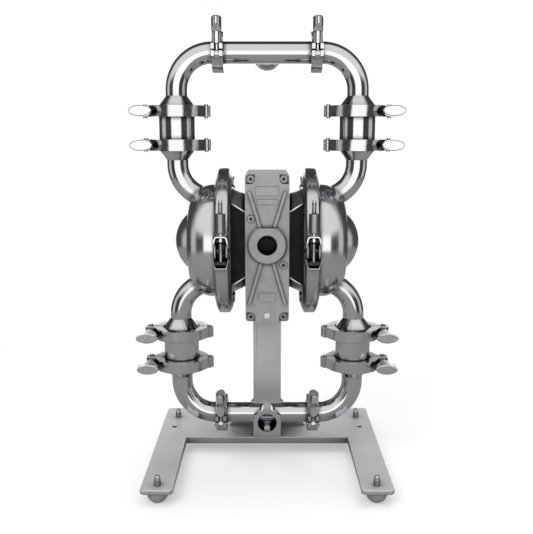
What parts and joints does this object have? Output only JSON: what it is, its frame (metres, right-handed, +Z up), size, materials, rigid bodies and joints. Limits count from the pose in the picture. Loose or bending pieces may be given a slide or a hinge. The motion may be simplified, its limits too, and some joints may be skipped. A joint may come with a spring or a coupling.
{
  "type": "air-operated double-diaphragm pump",
  "caption": "Sanitary stainless air-operated double-diaphragm pump: two clamped chambers, ball check valve columns and manifolds round an air motor, on a floor stand.",
  "frame": {"origin": "on the floor at the centre of the stand's footprint", "axes": "+X from the left chamber to the right one, +Y away from the user, towards the post and the outlet, +Z up"},
  "size_m": [0.472, 0.4004, 0.8293],
  "materials": {
    "polished_stainless": "mirror polished stainless steel",
    "bright_fasteners": "bright polished",
    "epoxy_black": "satin black epoxy",
    "cast_aluminium": "fine blasted casting",
    "satin_stainless": "satin sheet",
    "grey_rubber": "moulded, matt",
    "black_elastomer": "moulded",
    "white_ptfe": "moulded",
    "inner_stainless": "turned",
    "bronze": "turned",
    "pale_plug": "moulded"
  },
  "bodies": {
    "pump_body": {"manifold_elbows": "polished_stainless", "inlet_tee": "polished_stainless", "outlet_tee": "polished_stainless", "check_housings": "polished_stainless", "fluid_cover_left": "polished_stainless", "fluid_cover_right": "polished_stainless", "band_clamp_left": "polished_stainless", "band_clamp_right": "polished_stainless", "air_cover_shrouds": "polished_stainless", "column_clamp_halves": "polished_stainless", "manifold_clamp_halves": "polished_stainless", "clamp_pins": "bright_fasteners", "clamp_eye_bolts": "bright_fasteners", "band_tbolts": "bright_fasteners", "band_trunnions": "bright_fasteners", "shroud_bolts": "bright_fasteners", "foot_studs": "bright_fasteners", "motor_screws": "bright_fasteners", "post_screws": "bright_fasteners", "air_cover_left": "epoxy_black", "air_cover_right": "epoxy_black", "motor_housing": "cast_aluminium", "motor_front_cover": "cast_aluminium", "motor_rear_cover": "cast_aluminium", "stand_base": "satin_stainless", "stand_post": "satin_stainless", "post_head_plate": "satin_stainless", "stand_feet": "grey_rubber", "manifold_gaskets": "black_elastomer", "motor_gasket": "black_elastomer", "shaft_seals": "black_elastomer", "ball_seats": "white_ptfe", "diaphragm_left": "white_ptfe", "diaphragm_right": "white_ptfe", "ball_stops": "inner_stainless", "valve_sleeve": "inner_stainless", "shaft_bushes": "bronze", "drain_plug": "pale_plug"},
    "shaft": {"diaphragm_shaft": "polished_stainless", "diaphragm_plates": "cast_aluminium"},
    "pilot_rod": {"pilot_rod": "inner_stainless"},
    "spool": {"valve_spool": "inner_stainless"},
    "ball_upper_left": {"ball_upper_left": "white_ptfe"},
    "ball_upper_right": {"ball_upper_right": "white_ptfe"},
    "ball_lower_left": {"ball_lower_left": "white_ptfe"},
    "ball_lower_right": {"ball_lower_right": "white_ptfe"},
    "wing_nut_01": {"wing_nut_01": "bright_fasteners"},
    "wing_nut_02": {"wing_nut_02": "bright_fasteners"},
    "wing_nut_03": {"wing_nut_03": "bright_fasteners"},
    "wing_nut_04": {"wing_nut_04": "bright_fasteners"},
    "wing_nut_05": {"wing_nut_05": "bright_fasteners"},
    "wing_nut_06": {"wing_nut_06": "bright_fasteners"},
    "wing_nut_07": {"wing_nut_07": "bright_fasteners"},
    "wing_nut_08": {"wing_nut_08": "bright_fasteners"},
    "wing_nut_09": {"wing_nut_09": "bright_fasteners"},
    "wing_nut_10": {"wing_nut_10": "bright_fasteners"},
    "wing_nut_11": {"wing_nut_11": "bright_fasteners"},
    "wing_nut_12": {"wing_nut_12": "bright_fasteners"},
    "band_nut_left": {"band_nut_left": "bright_fasteners"},
    "band_nut_right": {"band_nut_right": "bright_fasteners"}
  },
  "joints": [
    {"name": "shaft_stroke", "type": "slide", "parent": "pump_body", "child": "shaft", "axis": [1, 0, 0], "range_m": [-0.015, 0.015], "deforming": ["diaphragm_left", "diaphragm_right"]},
    {"name": "pilot_rod_slide", "type": "slide", "parent": "pump_body", "child": "pilot_rod", "axis": [1, 0, 0], "range_m": [-0.004, 0.004]},
    {"name": "spool_shift", "type": "slide", "parent": "pump_body", "child": "spool", "axis": [1, 0, 0], "range_m": [-0.006, 0.006]},
    {"name": "ball_upper_left_lift", "type": "slide", "parent": "pump_body", "child": "ball_upper_left", "axis": [0, 0, 1], "range_m": [0, 0.009]},
    {"name": "ball_upper_right_lift", "type": "slide", "parent": "pump_body", "child": "ball_upper_right", "axis": [0, 0, 1], "range_m": [0, 0.009]},
    {"name": "ball_lower_left_lift", "type": "slide", "parent": "pump_body", "child": "ball_lower_left", "axis": [0, 0, 1], "range_m": [0, 0.009]},
    {"name": "ball_lower_right_lift", "type": "slide", "parent": "pump_body", "child": "ball_lower_right", "axis": [0, 0, 1], "range_m": [0, 0.009]},
    {"name": "wing_nut_01_turn", "type": "hinge", "parent": "pump_body", "child": "wing_nut_01", "pos_m": [-0.2165, -0.0722, 0.6755], "axis": [0, -1, 0], "continuous": true},
    {"name": "wing_nut_02_turn", "type": "hinge", "parent": "pump_body", "child": "wing_nut_02", "pos_m": [0.2165, -0.0722, 0.6755], "axis": [0, -1, 0], "continuous": true},
    {"name": "wing_nut_03_turn", "type": "hinge", "parent": "pump_body", "child": "wing_nut_03", "pos_m": [-0.2165, -0.0722, 0.617], "axis": [0, -1, 0], "continuous": true},
    {"name": "wing_nut_04_turn", "type": "hinge", "parent": "pump_body", "child": "wing_nut_04", "pos_m": [0.2165, -0.0722, 0.617], "axis": [0, -1, 0], "continuous": true},
    {"name": "wing_nut_05_turn", "type": "hinge", "parent": "pump_body", "child": "wing_nut_05", "pos_m": [-0.2165, -0.0722, 0.275], "axis": [0, -1, 0], "continuous": true},
    {"name": "wing_nut_06_turn", "type": "hinge", "parent": "pump_body", "child": "wing_nut_06", "pos_m": [0.2165, -0.0722, 0.275], "axis": [0, -1, 0], "continuous": true},
    {"name": "wing_nut_07_turn", "type": "hinge", "parent": "pump_body", "child": "wing_nut_07", "pos_m": [-0.2165, -0.0722, 0.2165], "axis": [0, -1, 0], "continuous": true},
    {"name": "wing_nut_08_turn", "type": "hinge", "parent": "pump_body", "child": "wing_nut_08", "pos_m": [0.2165, -0.0722, 0.2165], "axis": [0, -1, 0], "continuous": true},
    {"name": "wing_nut_09_turn", "type": "hinge", "parent": "pump_body", "child": "wing_nut_09", "pos_m": [-0.085, -0.0862, 0.8055], "axis": [0, 0, 1], "continuous": true},
    {"name": "wing_nut_10_turn", "type": "hinge", "parent": "pump_body", "child": "wing_nut_10", "pos_m": [0.085, -0.0862, 0.8055], "axis": [0, 0, 1], "continuous": true},
    {"name": "wing_nut_11_turn", "type": "hinge", "parent": "pump_body", "child": "wing_nut_11", "pos_m": [-0.085, -0.0862, 0.1465], "axis": [0, 0, 1], "continuous": true},
    {"name": "wing_nut_12_turn", "type": "hinge", "parent": "pump_body", "child": "wing_nut_12", "pos_m": [0.085, -0.0862, 0.1465], "axis": [0, 0, 1], "continuous": true},
    {"name": "band_nut_left_turn", "type": "hinge", "parent": "pump_body", "child": "band_nut_left", "pos_m": [-0.076, -0.1847, 0.491], "axis": [0, 0, 1], "continuous": true},
    {"name": "band_nut_right_turn", "type": "hinge", "parent": "pump_body", "child": "band_nut_right", "pos_m": [0.076, -0.1847, 0.491], "axis": [0, 0, 1], "continuous": true}
  ],
  "couplings": [
    {"joint": "pilot_rod_slide", "follows": "shaft_stroke", "ratio": 0.2666}
  ]
}
